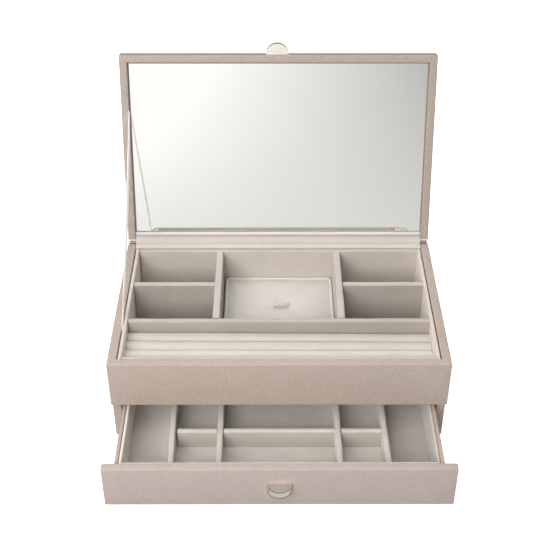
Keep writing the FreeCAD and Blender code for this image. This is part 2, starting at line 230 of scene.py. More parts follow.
def metal(name, colour, rough=0.26, brushed=(1400, 60, 60)):
    """Satin nickel with a fine brushed grain and slight handling marks."""
    material, tree, shader = nodes_of(name)
    lines = node(tree, "ShaderNodeTexNoise", Scale=1.0, Detail=4.0, Roughness=0.7)
    smudge = node(tree, "ShaderNodeTexNoise", Scale=90.0, Detail=3.0)
    tree.links.new(stretched(tree, brushed), lines.inputs["Vector"])
    tree.links.new(stretched(tree, (1, 1, 1)), smudge.inputs["Vector"])
    tint = ramp(tree, lines.outputs[0], [(0.3, scaled(colour, 0.93)), (0.7, scaled(colour, 1.04))])
    tree.links.new(tint, shader.inputs["Base Color"])
    mixed_rough = mixed(tree, 0.5, ramp(tree, lines.outputs[0], [(0.3, (rough - 0.05,) * 3),
                                                               (0.7, (rough + 0.08,) * 3)]),
                        ramp(tree, smudge.outputs[0], [(0.3, (rough - 0.04,) * 3),
                                                       (0.7, (rough + 0.07,) * 3)]))
    tree.links.new(mixed_rough, shader.inputs["Roughness"])
    bump = node(tree, "ShaderNodeBump", Strength=0.06, Distance=0.0001)
    tree.links.new(lines.outputs[0], bump.inputs["Height"])
    tree.links.new(bump.outputs[0], shader.inputs["Normal"])
    shader.inputs["Metallic"].default_value = 1.0
    return material


def board_paper(name, colour):
    """Grey-brown fibre board, as on the hidden structural boards."""
    material, tree, shader = nodes_of(name)
    where = stretched(tree, (1, 1, 1))
    fibre = node(tree, "ShaderNodeTexNoise", Scale=700.0, Detail=4.0, Roughness=0.7)
    cloud = node(tree, "ShaderNodeTexNoise", Scale=35.0, Detail=4.0)
    for texture in (fibre, cloud):
        tree.links.new(where, texture.inputs["Vector"])
    a = ramp(tree, fibre.outputs[0], [(0.3, scaled(colour, 0.85)), (0.7, scaled(colour, 1.1))])
    b = ramp(tree, cloud.outputs[0], [(0.3, scaled(colour, 0.92)), (0.7, scaled(colour, 1.06))])
    tree.links.new(mixed(tree, 0.5, a, b), shader.inputs["Base Color"])
    tree.links.new(ramp(tree, fibre.outputs[0], [(0.3, (0.92,) * 3), (0.7, (0.78,) * 3)]),
                   shader.inputs["Roughness"])
    bump = node(tree, "ShaderNodeBump", Strength=0.2, Distance=0.0002)
    tree.links.new(fibre.outputs[0], bump.inputs["Height"])
    tree.links.new(bump.outputs[0], shader.inputs["Normal"])
    return material


def silvered(name):
    """Mirror glass: silvering under glass, with a trace of haze."""
    material, tree, shader = nodes_of(name)
    haze = node(tree, "ShaderNodeTexNoise", Scale=14.0, Detail=3.0)
    tree.links.new(stretched(tree, (1, 1, 1)), haze.inputs["Vector"])
    tree.links.new(ramp(tree, haze.outputs[0], [(0.3, (0.005,) * 3), (0.7, (0.02,) * 3)]),
                   shader.inputs["Roughness"])
    tree.links.new(ramp(tree, haze.outputs[0], [(0.3, (0.945, 0.95, 0.94)), (0.7, (0.96, 0.962, 0.955))]),
                   shader.inputs["Base Color"])
    shader.inputs["Metallic"].default_value = 1.0
    return material


LEATHER = (0.560, 0.462, 0.398)
COVER = (0.700, 0.640, 0.585)
TRAY = (0.618, 0.558, 0.504)
DRAWER = (0.730, 0.680, 0.628)
leather_mat = leather("leather_taupe", LEATHER, grained=1.7)
front_leather = leather("leather_taupe_drawer", (0.575, 0.478, 0.438))
# the lid is the case leather darkened to 0.87: painted shade
lid_leather = leather("leather_taupe_lid_painted_shade", scaled(LEATHER, 0.87), grained=1.7)
tray_velvet = velvet("velvet_tray", TRAY)
# the side linings are the tray velvet made 1.20 times lighter: painted light on their inner faces
lit_lining_velvet = velvet("velvet_tray_linings", scaled(TRAY, 1.20))
# painted shade: the dividers' upright faces are darkened, the long left one's most, and the transverse
# divider is also a 0.90 darker copy of the tray velvet
divider_velvet = velvet("velvet_tray_dividers", TRAY, painted_wall_shade=0.72)
transverse_velvet = velvet("velvet_transverse_divider", scaled(TRAY, 0.90), painted_wall_shade=0.80)
long_velvets = {"left": velvet("velvet_divider_left", TRAY, painted_wall_shade=0.36),
                "right": velvet("velvet_divider_right", TRAY, painted_wall_shade=0.66)}
drawer_velvet = velvet("velvet_drawer", DRAWER, nap=1.3)
# painted shadow: the floor's right end is darkened to 0.80, as under the right divider's shadow
floor_velvet = velvet("velvet_drawer_floor_painted_shadow", scaled(DRAWER, 1.00), nap=1.3, painted_right_shadow=0.80)
# the same drawer velvet lighter on the left (painted light) and darker on the right (painted shade)
side_velvets = {"left": velvet("velvet_drawer_left_painted_light", scaled(DRAWER, 1.24), nap=0.9),
                "right": velvet("velvet_drawer_right_painted_shade", scaled(DRAWER, 0.92), nap=0.9)}
# painted shade on the dividers' upright faces: strong on the left dividers and cross dividers, slight on
# the right dividers
drawer_divider_velvet = velvet("velvet_drawer_dividers", DRAWER, nap=1.2, painted_wall_shade=0.74)
less_shaded_divider_velvet = velvet("velvet_drawer_dividers_right", DRAWER, nap=1.2, painted_wall_shade=0.96)
# one velvet at tones 0.80 to 1.12 from roll 1 to roll 4: painted shade on the first rolls and painted
# light on the last ones, which the front wall shades
roll_velvets_painted_light = [velvet("velvet_roll_%d" % n, scaled((0.775, 0.722, 0.655), tone), nap=0.6)
                for n, tone in ((1, 0.80), (2, 0.87), (3, 1.07), (4, 1.12))]
pad_velvet = velvet("velvet_pad", (0.740, 0.702, 0.655), nap=0.8)
piping_velvet = velvet("velvet_piping", (0.790, 0.745, 0.690), nap=0.4)
# painted shade: the cover's upright parts are darkened to 0.60
cover_cloth = velvet("cloth_hinge_cover", COVER, nap=0.9, sheen=0.25, painted_wall_shade=0.60)
# a lighter cloth for the ledge: painted highlight for light the mirror throws onto it
cover_edge_painted_highlight = velvet("cloth_cover_edge", (0.82, 0.79, 0.74), nap=0.3, sheen=0.4)
# the ribbon glows faintly: painted light for the light that passes through it
ribbon_mat = woven("ribbon_cream", (0.95, 0.93, 0.89), axis="Z", sheen=0.6, through=0.28)
tape_mat = woven("tape_loop", (0.70, 0.655, 0.590), axis="X")
pull_metal = metal("metal_satin_nickel", (0.450, 0.400, 0.340), rough=0.34, brushed=(60, 900, 900))
lid_pull_metal = metal("metal_satin_lid_pull", (0.330, 0.295, 0.250), rough=0.36, brushed=(60, 900, 900))
# rim: a lighter, smoother copy of the pull metal; its lighter tint is a painted highlight
rim_metal = metal("metal_rim_painted_highlight", (0.76, 0.71, 0.65), rough=0.22, brushed=(60, 60, 900))
# bevel: near-black metal, a painted dark reflection
edge_metal_dark_reflection = metal("metal_edge_painted_dark_reflection", (0.075, 0.060, 0.048), rough=0.34)
hinge_metal = metal("metal_hinge", (0.34, 0.28, 0.25), rough=0.60, brushed=(60, 1200, 1200))
steel = metal("metal_screws", (0.50, 0.49, 0.47), rough=0.32)
board_mat = board_paper("board_fibre", (0.34, 0.285, 0.235))
felt_mat = velvet("felt_glides", (0.30, 0.27, 0.24), nap=1.4, sheen=0.2)
mirror_mat = silvered("mirror_silver")


# ---------------------------------------------------------------- mesh helpers
def add(name, mesh, material, body=None, nodes=(), smooth=True, angle=None):
    piece = bpy.data.objects.new(name, mesh)
    bpy.context.collection.objects.link(piece)
    mesh.materials.append(material)
    if smooth:
        mesh.shade_smooth()
    if angle:
        mesh.set_sharp_from_angle(angle=math.radians(angle))
    if body:
        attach(piece, body)
    if nodes:
        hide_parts(*nodes)
    return piece


def from_bmesh(name, bm):
    """The finished mesh, without slivers and facing outwards."""
    bmesh.ops.remove_doubles(bm, verts=bm.verts, dist=1e-6)
    bmesh.ops.dissolve_degenerate(bm, edges=bm.edges, dist=1e-6)
    bm.normal_update()
    bmesh.ops.recalc_face_normals(bm, faces=bm.faces)
    if bm.calc_volume(signed=True) < 0:
        bmesh.ops.reverse_faces(bm, faces=bm.faces)
    mesh = bpy.data.meshes.new(name)
    bm.to_mesh(mesh)
    bm.free()
    return mesh


def cell_solid(xs, ys, zs, filled):
    """A closed mesh around the filled cells of a rectangular grid."""
    bm = bmesh.new()
    made = {}

    def corner(i, j, k):
        if (i, j, k) not in made:
            made[i, j, k] = bm.verts.new((xs[i], ys[j], zs[k]))
        return made[i, j, k]

    def full(i, j, k):
        inside = 0 <= i < len(xs) - 1 and 0 <= j < len(ys) - 1 and 0 <= k < len(zs) - 1
        return inside and filled(i, j, k)

    for i in range(len(xs) - 1):
        for j in range(len(ys) - 1):
            for k in range(len(zs) - 1):
                if not filled(i, j, k):
                    continue
                for axis, far in ((0, 0), (0, 1), (1, 0), (1, 1), (2, 0), (2, 1)):
                    other = [i, j, k]
                    other[axis] += 1 if far else -1
                    if full(*other):
                        continue
                    at = [i, j, k]
                    at[axis] += far
                    u, v = [a for a in range(3) if a != axis]
                    ring = []
                    for du, dv in ((0, 0), (1, 0), (1, 1), (0, 1)):
                        c = list(at)
                        c[u] += du
                        c[v] += dv
                        ring.append(corner(*c))
                    bm.faces.new(ring)
    bm.normal_update()
    bmesh.ops.recalc_face_normals(bm, faces=bm.faces)
    return bm


def soften(bm, radius, segments=3, skip=None):
    """Rounds every sharp edge that skip(edge) doesn't refuse."""
    sharp = [e for e in bm.edges if len(e.link_faces) == 2
             and e.calc_face_angle() > 0.5 and not (skip and skip(e))]
    bmesh.ops.bevel(bm, geom=sharp, offset=radius, segments=segments, profile=0.5,
                    affect="EDGES", clamp_overlap=True)


def even_grid(lo, hi, step):
    count = max(1, round((hi - lo) / step))
    return [lo + (hi - lo) * i / count for i in range(count + 1)]


def wrapped_board(name, lo, hi, radius, material, body, slot, nodes, uneven=0.00015,
                  step=0.008, place=None, seed=0.0, segments=3, square_ends=False):
    """A board wrapped in cloth or leather: rounded edges and a surface that isn't quite flat.

    With square_ends only the long top edges are rounded.
    """
    axes = [even_grid(lo[a], hi[a], step) if hi[a] - lo[a] > 2.5 * step else [lo[a], hi[a]]
            for a in range(3)]
    bm = cell_solid(*axes, lambda i, j, k: True)
    along = 0 if hi[0] - lo[0] > hi[1] - lo[1] else 1

    def not_rounded(edge):
        a, b = (v.co for v in edge.verts)
        return square_ends and (min(a.z, b.z) < hi[2] - 1e-6 or abs((a - b)[along]) < 1e-6)

    soften(bm, radius, segments, not_rounded)
    for v in bm.verts:
        p = v.co * 38 + Vector((seed, seed * 1.7, 0))
        q = v.co * 150 + Vector((0, seed, seed))
        d = noise.noise_vector(p) * uneven + noise.noise_vector(q) * uneven * 0.35
        v.co += d
    if place:
        for v in bm.verts:
            v.co = place(*v.co)
    return add(name, from_bmesh(name, bm), material, body, nodes, angle=48)


def board_for(node_name, radius, material, body, slot, short=0.0, short_right=0.0, **more):
    """The soft board of a CAD node, left a little short of its left or right neighbour."""
    lo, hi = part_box(node_name)
    lo.x += short
    hi.x -= short_right
    return wrapped_board(node_name + "_soft", lo, hi, radius, material, body, slot,
                         [node_name], seed=sum(map(ord, node_name)) % 97 * 0.37, **more)


# ---------------------------------------------------------------- case leather
inner = WIDTH / 2 - WALL
y_in, y_back = FRONT + WALL, -FRONT - WALL
seat_z = RIM_Z - 0.001


def case_cell(i, j, k):
    if i in (0, 2):
        return j > 0 or k > 0
    if j == 0:
        return k > 0
    return j == 2 and k < 2


bm = cell_solid([-WIDTH / 2, -inner, inner, WIDTH / 2], [FRONT, y_in, y_back, -FRONT],
                [0, SPLIT_Z, seat_z, RIM_Z], case_cell)
soften(bm, 0.0010, 4, lambda e: e.calc_length() < 0.002 or (
    all(abs(v.co.z - seat_z) < 1e-5 for v in e.verts)))
add("case_leather", from_bmesh("case_leather", bm), leather_mat, "case",
    ["case_left_side", "case_right_side", "case_front_wall", "case_back_wall"], angle=35)

# ---------------------------------------------------------------- tray velvet
for name, gaps in (("left", (0.0005, 0.0)), ("right", (0.0, 0.0006))):
    board_for("tray_lining_" + name, 0.0007, lit_lining_velvet, "case", "tray_velvet", *gaps,
              uneven=0.0001, square_ends=True)
for name in ("front", "rear"):
    board_for("tray_lining_" + name, 0.0009, tray_velvet, "case", "tray_velvet", uneven=0.0001,
              short=0.0007, square_ends=True)
board_for("tray_floor", 0.0003, tray_velvet, "case", "tray_velvet")
for name in ("left", "right"):
    board_for("tray_divider_" + name, 0.0013, long_velvets[name], "case", "tray_velvet",
              uneven=0.0002, segments=4, square_ends=True)
for name, velvet_mat in (("tray_divider_front", transverse_velvet),
                         ("tray_short_divider_left", divider_velvet),
                         ("tray_short_divider_right", divider_velvet)):
    board_for(name, 0.0013, velvet_mat, "case", "tray_velvet", short=0.0007,
              uneven=0.0002, segments=4, square_ends=True)

# ---------------------------------------------------------------- ring rolls


def ring_roll(index):
    """One upright foam roll in velvet: full top, flat flanks, slightly higher at its left end."""
    lo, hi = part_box("ring_roll_%d" % index)
    y, r, top = (lo.y + hi.y) / 2, (hi.y - lo.y) / 2 + 0.00008, hi.z
    tilt = 0.0030 - 0.0006 * index
    ends = (-0.0004, 0.0002, 0.0010, 0.002)
    stations = ([lo.x + e for e in ends] + even_grid(lo.x + 0.004, hi.x - 0.004, 0.004)
                + [hi.x - e for e in ends[::-1]])
    bm = bmesh.new()
    rings = []
    for x in stations:
        end = min(x - lo.x, hi.x - x)
        tuck = 1 - max(0.0, 1 - end / 0.0016) ** 2 * 0.10
        sway = noise.noise(Vector((x * 24, index * 5.1, 0))) * 0.00022
        dip = noise.noise(Vector((x * 15, index * 9.7, 3))) * 0.00032
        u = (hi.x - x) / (hi.x - lo.x)
        dip += tilt * (u - 0.5)
        ring = []
        for a in range(17):
            t = math.pi * a / 16
            wrinkle = noise.noise(Vector((x * 95, a * 0.7, index * 3.3))) * 0.00006
            rr = (r + wrinkle) * tuck
            c = math.copysign(abs(math.cos(t)) ** 0.8, math.cos(t))
            ring.append(bm.verts.new((x, y + sway * math.sin(t) + rr * c,
                                      top - r + dip + rr * math.sin(t) ** 0.8)))
        ring.append(bm.verts.new((x, y - r * tuck, lo.z)))
        ring.append(bm.verts.new((x, y + r * tuck, lo.z)))
        rings.append(ring)
    for a, b in zip(rings, rings[1:]):
        for i in range(len(a)):
            j = (i + 1) % len(a)
            bm.faces.new((a[i], a[j], b[j], b[i]))
    for ring in (rings[0], rings[-1]):
        bm.faces.new(ring)
    piece = add("ring_roll_%d_soft" % index, from_bmesh("ring_roll", bm), roll_velvets_painted_light[index - 1], "case",
                ["ring_roll_%d" % index], angle=60)


for index in (1, 2, 3, 4):
    ring_roll(index)

# ---------------------------------------------------------------- lift-out pad
pad_lo, pad_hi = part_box("pad")


def pad_surface():
    """Crowned pad: a flat base, upright sides and a gently domed top that dips to its piping."""
    nx, ny = 44, 44
    bm = bmesh.new()
    inset = 0.0012
    x0, x1 = pad_lo.x + inset, pad_hi.x - inset
    y0, y1 = pad_lo.y + inset, pad_hi.y - inset
    top = pad_hi.z - 0.0019
    grid = []
    for i in range(nx + 1):
        row = []
        for j in range(ny + 1):
            u, v = i / nx, j / ny
            u2, v2 = (1 - math.cos(math.pi * u)) / 2 * 0.35 + u * 0.65, (
                1 - math.cos(math.pi * v)) / 2 * 0.35 + v * 0.65
            x, y = x0 + (x1 - x0) * u2, y0 + (y1 - y0) * v2
            edge = min(x - x0, x1 - x, y - y0, y1 - y)
            rise = 0.0022 * (1 - math.exp(-edge / 0.0035))
            p = Vector((x, y, 0))
            wave = noise.noise(p * 45 + Vector((3, 1, 0))) * 0.00022
            wave += noise.noise(p * 120) * 0.00008
            away = (p - Vector((LOOP_X, LOOP_Y, 0))).length
            pull = -0.0012 * math.exp(-(away / 0.008) ** 2)
            angle = math.atan2(y - LOOP_Y, x - LOOP_X)
            pull += 0.00042 * math.cos(5 * angle + 0.6) * math.exp(-((away - 0.012) / 0.010) ** 2)
            row.append(bm.verts.new((x, y, top + rise + wave + pull)))
        grid.append(row)
    for i in range(nx):
        for j in range(ny):
            bm.faces.new((grid[i][j], grid[i + 1][j], grid[i + 1][j + 1], grid[i][j + 1]))
    rim = ([grid[i][0] for i in range(nx)] + [grid[nx][j] for j in range(ny)]
           + [grid[i][ny] for i in range(nx, 0, -1)] + [grid[0][j] for j in range(ny, 0, -1)])
    last = rim
    centre = Vector(((x0 + x1) / 2, (y0 + y1) / 2, 0))
    for z, grow in ((top - 0.0006, 1.0), (pad_lo.z + 0.006, 1.006), (pad_lo.z + 0.001, 1.0),
                    (pad_lo.z, 0.99)):
        ring = []
        for v in rim:
            p = centre + (Vector((v.co.x, v.co.y, 0)) - centre) * grow
            ring.append(bm.verts.new((p.x, p.y, z)))
        for a in range(len(ring)):
            b = (a + 1) % len(ring)
            bm.faces.new((last[a], last[b], ring[b], ring[a]))
        last = ring
    bm.faces.new(last)
    return bm


def filled_out(mesh, voxel, cap):
    """The cushion's cloth pushed out by its filling, with only its top free to move, by up to cap."""
    scene = bpy.context.scene
    even = bpy.data.objects.new("pad_even", mesh)
    bpy.context.collection.objects.link(even)
    remesh = even.modifiers.new("even", "REMESH")
    remesh.mode, remesh.voxel_size = "VOXEL", voxel
    start = bpy.data.meshes.new_from_object(even.evaluated_get(bpy.context.evaluated_depsgraph_get()))
    bpy.data.objects.remove(even)
    rest = [v.co.copy() for v in start.vertices]
    work = bpy.data.objects.new("pad_filling", start)
    bpy.context.collection.objects.link(work)
    top = max(p.z for p in rest)
    held = work.vertex_groups.new(name="held")
    held.add([i for i, p in enumerate(rest) if p.z < top - 0.004], 1.0, "REPLACE")
    cloth = work.modifiers.new("filling", "CLOTH")
    cloth.settings.use_pressure, cloth.settings.uniform_pressure_force = True, 4.0
    cloth.settings.effector_weights.gravity = 0.0
    cloth.settings.vertex_group_mass = "held"
    cloth.point_cache.frame_start, cloth.point_cache.frame_end = 1, 20
    for step in range(1, 21):
        scene.frame_set(step)
    blown = work.evaluated_get(bpy.context.evaluated_depsgraph_get()).to_mesh()
    moved = [v.co.copy() for v in blown.vertices]
    work.modifiers.remove(cloth)
    scene.frame_set(1)
    for vertex, old, new in zip(start.vertices, rest, moved):
        push = new - old
        vertex.co = old + push * min(1.0, cap / max(push.length, 1e-9))
    bpy.data.objects.remove(work)
    return start


pad_mesh = from_bmesh("pad_cushion", pad_surface())
pad_mesh = filled_out(pad_mesh, 0.0018, 0.0004)
pad = add("pad_cushion", pad_mesh, pad_velvet, "tray_pad", ["pad"], angle=50)
finer = pad.modifiers.new("finer", "SUBSURF")
finer.levels = finer.render_levels = 1


def tube_loop(points, radius, sides=10):
    """A closed round tube through the points, used for piping."""
    bm = bmesh.new()
    rings = []
    count = len(points)
    for i, p in enumerate(points):
        along = (points[(i + 1) % count] - points[i - 1]).normalized()
        side = along.cross(Vector((0, 0, 1))).normalized()
        up = side.cross(along)
        rings.append([bm.verts.new(p + side * math.cos(t) * radius + up * math.sin(t) * radius)
                      for t in (2 * math.pi * a / sides for a in range(sides))])
    for i in range(count):
        a, b = rings[i], rings[(i + 1) % count]
        for k in range(sides):
            m = (k + 1) % sides
            bm.faces.new((a[k], a[m], b[m], b[k]))
    return bm


def rounded_outline(x0, x1, y0, y1, z, r, step=0.003):
    points = []
    corners = ((x1 - r, y0 + r, -90), (x1 - r, y1 - r, 0), (x0 + r, y1 - r, 90), (x0 + r, y0 + r, 180))
    for cx, cy, start in corners:
        for a in range(7):
            t = math.radians(start + 15 * a)
            points.append(Vector((cx + r * math.cos(t), cy + r * math.sin(t), z)))
    dense = []
    for a, b in zip(points, points[1:] + points[:1]):
        n = max(1, round((b - a).length / step))
        dense += [a.lerp(b, k / n) for k in range(n)]
    for p in dense:
        p += noise.noise_vector(p * 60) * 0.00010
    return dense


r = 0.0013
piping = tube_loop(rounded_outline(pad_lo.x + r, pad_hi.x - r, pad_lo.y + r, pad_hi.y - r,
                                   pad_hi.z - r, 0.0022), r)
add("pad_piping", from_bmesh("pad_piping", piping), piping_velvet, "tray_pad", angle=60)


def pull_loop():
    """Flat cloth loop standing on the pad, its ends tucked into the cover."""
    lo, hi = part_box("pad_loop")
    cx, cy, base = (lo.x + hi.x) / 2, (lo.y + hi.y) / 2, lo.z - 0.0004
    half, high, wide, thick = (hi.x - lo.x) / 2 + 0.0003, hi.z - base + 0.0010, 0.0024, 0.0006
    bm = bmesh.new()
    rings = []
    for i in range(25):
        t = math.pi * i / 24
        lean = 0.0006 * math.sin(t)
        c, s = math.cos(t), math.sin(t) ** 0.72
        ring = []
        for side, layer in ((-1, 0), (1, 0), (1, 1), (-1, 1)):
            k = 1 - layer * thick / high
            w = wide * (1 - 0.10 * math.sin(t))
            ring.append(bm.verts.new((cx + half * c * (1 - layer * thick / half),
                                      cy + side * w - lean * 2, base + high * s * k)))
        rings.append(ring)
    for a, b in zip(rings, rings[1:]):
        for k in range(4):
            m = (k + 1) % 4
            bm.faces.new((a[k], a[m], b[m], b[k]))
    bm.faces.new(rings[0])
    bm.faces.new(rings[-1])
    return bm


add("pad_pull_loop", from_bmesh("pad_pull_loop", pull_loop()), tape_mat, "tray_pad",
    ["pad_loop"], angle=40)

# ---------------------------------------------------------------- drawer
lo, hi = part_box("drawer_front")
wrapped_board("drawer_front_leather", lo, hi, 0.0011, front_leather, "drawer", "leatherette",
              ["drawer_front"], uneven=0.00008, step=0.02, seed=4.0, segments=4)
for name in ("drawer_side_left", "drawer_side_right", "drawer_back"):
    board_for(name, 0.0008, leather_mat, "drawer", "leatherette", uneven=0.00006, step=0.02)
for name in ("left", "right", "front", "rear"):
    board_for("drawer_lining_" + name, 0.0008, side_velvets.get(name, drawer_velvet),
              "drawer", "drawer_velvet", uneven=0.00012, square_ends=True)
board_for("drawer_floor", 0.00015, floor_velvet, "drawer", "drawer_velvet", uneven=0.00008)


def askew(index):
    """The outer dividers aren't quite square: the left one leans left, the right one runs out."""
    rear, front = {1: (-0.0014, 0.0), 4: (0.0, 0.0014)}.get(index, (0.0, 0.0))

    def place(x, y, z):
        t = min(1.0, max(0.0, (y - OUT) / (FRONT - OUT)))
        return Vector((x + front + (rear - front) * t, y, z))

    return place


for index in (1, 2, 3, 4):
    board_for("drawer_divider_%d" % index, 0.0016,
              drawer_divider_velvet if index < 3 else less_shaded_divider_velvet, "drawer",
              "drawer_velvet", uneven=0.00025, segments=4, place=askew(index))
for index in (1, 2, 3):
    board_for("drawer_cross_divider_%d" % index, 0.0020, drawer_divider_velvet, "drawer",
              "drawer_velvet", uneven=0.0002, segments=4, short=0.0005, square_ends=True)


# ---------------------------------------------------------------- pulls
def half_moon(place):
    """Half-moon plate with a bevelled rim; the flat side is at y = 0 and the tip at -y.

    Its two faces are satin; the rim is a lighter, smoother copy of the metal, its lighter tint a painted
    highlight, and the bevel between them near-black metal, a painted dark reflection.
    """
    half, sag = PULL_W / 2, PULL_D - PULL_NECK
    radius = (half * half + sag * sag) / (2 * sag)
    reach = math.asin(half / radius)
    outline = [(half, 0.0), (-half, 0.0)]
    for i in range(41):
        t = -reach + 2 * reach * i / 40
        outline.append((radius * math.sin(t), -PULL_D + radius * (1 - math.cos(t))))
    bm = bmesh.new()
    low = [bm.verts.new((x, y, -PULL_T / 2)) for x, y in outline]
    high = [bm.verts.new((x, y, PULL_T / 2)) for x, y in outline]
    bm.faces.new(low[::-1])
    bm.faces.new(high)
    for i in range(len(outline)):
        j = (i + 1) % len(outline)
        bm.faces.new((low[i], low[j], high[j], high[i]))
    for face in bm.faces:
        face.material_index = 1 if abs(face.normal.z) < 0.5 else 0
    rim = [e for e in bm.edges if abs(abs(e.verts[0].co.z) - PULL_T / 2) < 1e-6
           and abs(e.verts[0].co.z - e.verts[1].co.z) < 1e-6
           and not all(abs(v.co.y) < 1e-6 for v in e.verts)]
    bmesh.ops.bevel(bm, geom=rim, offset=0.0008, segments=4, profile=0.55, affect="EDGES", material=2)
    for v in bm.verts:
        v.co = place(*v.co)
    return bm


def finish_pull(piece):
    for material in (rim_metal, edge_metal_dark_reflection):
        piece.data.materials.append(material)


pull_z = sum(DRAWER_FRONT_Z) / 2 + PULL_UP
finish_pull(add("drawer_pull_moon", from_bmesh("drawer_pull_moon", half_moon(
    lambda x, y, z: Vector((x, OUT + y, pull_z + z)))), pull_metal, "drawer",
    ["drawer_pull"], angle=25))
mid_n = (LID_N0 + LID_N1) / 2
finish_pull(add("lid_pull_moon", from_bmesh("lid_pull_moon", half_moon(
    lambda x, y, z: lid_point(x + LID_PULL_X, LID_S1 - y, mid_n + z))), lid_pull_metal, "lid",
    ["lid_pull"], angle=25))

# ---------------------------------------------------------------- lid
rail_x = WIDTH / 2 - RAIL


def lid_cell(i, j, k):
    if i in (0, 2) or j == 2:
        return True
    if j == 0:
        return k > 0
    return k == 2


bm = cell_solid([-WIDTH / 2, -rail_x, rail_x, WIDTH / 2],
                [LID_S0, LID_S0 + RAIL, LID_S1 - RAIL, LID_S1],
                [LID_N0, LID_N0 + 0.001, PANEL_N, LID_N1], lid_cell)
soften(bm, 0.0010, 4, lambda e: e.calc_length() < 0.002 or (
    all(abs(v.co.z - LID_N0 - 0.001) < 1e-5 for v in e.verts)))
for v in bm.verts:
    v.co = lid_point(*v.co)
add("lid_leather", from_bmesh("lid_leather", bm), lid_leather, "lid",
    ["lid_panel", "lid_rail_left", "lid_rail_right", "lid_rail_front", "lid_rail_rear"], angle=35)

# mirror with a narrow ground bevel
play = 0.0006
mx, ms0, ms1 = rail_x - play, LID_S0 + RAIL + play, LID_S1 - RAIL - play
bevel, sink = 0.0008, 0.0003
front_n, back_n = PANEL_N - 0.002, PANEL_N
bm = bmesh.new()
rings = []
for n, cut in ((back_n, 0.0), (front_n + sink, 0.0), (front_n, bevel)):
    rings.append([bm.verts.new(lid_point(x, s, n)) for x, s in (
        (-mx + cut, ms0 + cut), (mx - cut, ms0 + cut), (mx - cut, ms1 - cut), (-mx + cut, ms1 - cut))])
for a, b in zip(rings, rings[1:]):
    for k in range(4):
        m = (k + 1) % 4
        bm.faces.new((a[k], a[m], b[m], b[k]))
bm.faces.new(rings[0])
bm.faces.new(rings[-1])
add("mirror_glass", from_bmesh("mirror_glass", bm), mirror_mat, "lid", ["mirror"],
    smooth=False)


# ---------------------------------------------------------------- hinge cover and ribbon
def strip(profile, x0, x1, thick, name):
    """A cloth strip: the profile's points (y, z) run along X, thick cloth under them."""
    stations = even_grid(x0, x1, 0.006)
    bm = bmesh.new()
    outer, under = [], []
    normals = []
    for i, (y, z) in enumerate(profile):
        a = profile[max(0, i - 1)]
        b = profile[min(len(profile) - 1, i + 1)]
        d = Vector((b[0] - a[0], b[1] - a[1])).normalized()
        normals.append((-d.y, d.x))
    for x in stations:
        a_row, b_row = [], []
        for (y, z), (ny, nz) in zip(profile, normals):
            rise = noise.noise(Vector((x * 30, y * 120, z * 120))) * 0.00012
            a_row.append(bm.verts.new((x, y + ny * rise, z + nz * rise)))
            b_row.append(bm.verts.new((x, y - ny * thick, z - nz * thick)))
        outer.append(a_row)
        under.append(b_row)
    last = len(profile) - 1
    for i in range(len(stations) - 1):
        for j in range(last):
            bm.faces.new((outer[i][j], outer[i][j + 1], outer[i + 1][j + 1], outer[i + 1][j]))
            bm.faces.new((under[i][j], under[i + 1][j], under[i + 1][j + 1], under[i][j + 1]))
        for j in (0, last):
            bm.faces.new((outer[i][j], outer[i + 1][j], under[i + 1][j], under[i][j]))
    for i in (0, len(stations) - 1):
        for j in range(last):
            bm.faces.new((outer[i][j], under[i][j], under[i][j + 1], outer[i][j + 1]))
    return from_bmesh(name, bm)


def smooth_path(points, per=5):
    """Catmull-Rom through (y, z) points."""
    pts = [points[0]] + list(points) + [points[-1]]
    out = []
    for i in range(1, len(pts) - 2):
        p0, p1, p2, p3 = (Vector(p) for p in pts[i - 1:i + 3])
        for k in range(per):
            t = k / per
            out.append(tuple(0.5 * ((2 * p1) + (p2 - p0) * t + (2 * p0 - 5 * p1 + 4 * p2 - p3) * t ** 2
                                    + (3 * p1 - p0 - 3 * p2 + p3) * t ** 3)))
    return out + [tuple(points[-1])]


def yz(s, n):
    p = lid_point(0, s, n)
    return (p.y, p.z)


ledge = LID_S0 + RAIL
cover_path = smooth_path([
    (y_back + 0.0001, RIM_Z - 0.0008), (y_back + 0.0005, RIM_Z - 0.0001),
    (y_back + 0.0025, RIM_Z + 0.00025),
    (AXIS_Y - 0.0060, RIM_Z + 0.0003), (AXIS_Y - 0.0045, RIM_Z + 0.0009),
    (AXIS_Y - 0.0031, RIM_Z + 0.0024), yz(0.0046, -0.0009), yz(0.0062, LID_N0 - 0.0003),
    yz(ledge - 0.0018, LID_N0), yz(ledge - 0.0005, LID_N0 + 0.0005),
    yz(ledge + 0.0002, LID_N0 + 0.0016), yz(ledge + 0.0002, PANEL_N - 0.0022)])
cover = add("hinge_cover_cloth", strip(cover_path, -inner + 0.0003, inner - 0.0003, 0.00035,
                                       "hinge_cover_cloth"), cover_cloth,
            nodes=["hinge_cover_case", "hinge_cover_lid"], angle=60)
cover.data.materials.append(cover_edge_painted_highlight)
# faces at the ledge end get the lighter cloth: painted highlight
for face in cover.data.polygons:
    y, z = face.center.y - AXIS_Y, face.center.z - AXIS_Z
    face.material_index = int(y * -math.cos(OPEN) + z * math.sin(OPEN) > ledge - 0.0012)
cover_flat = sum((Vector(b) - Vector(a)).length for a, b in zip(cover_path, cover_path[1:]))
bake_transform(cover)

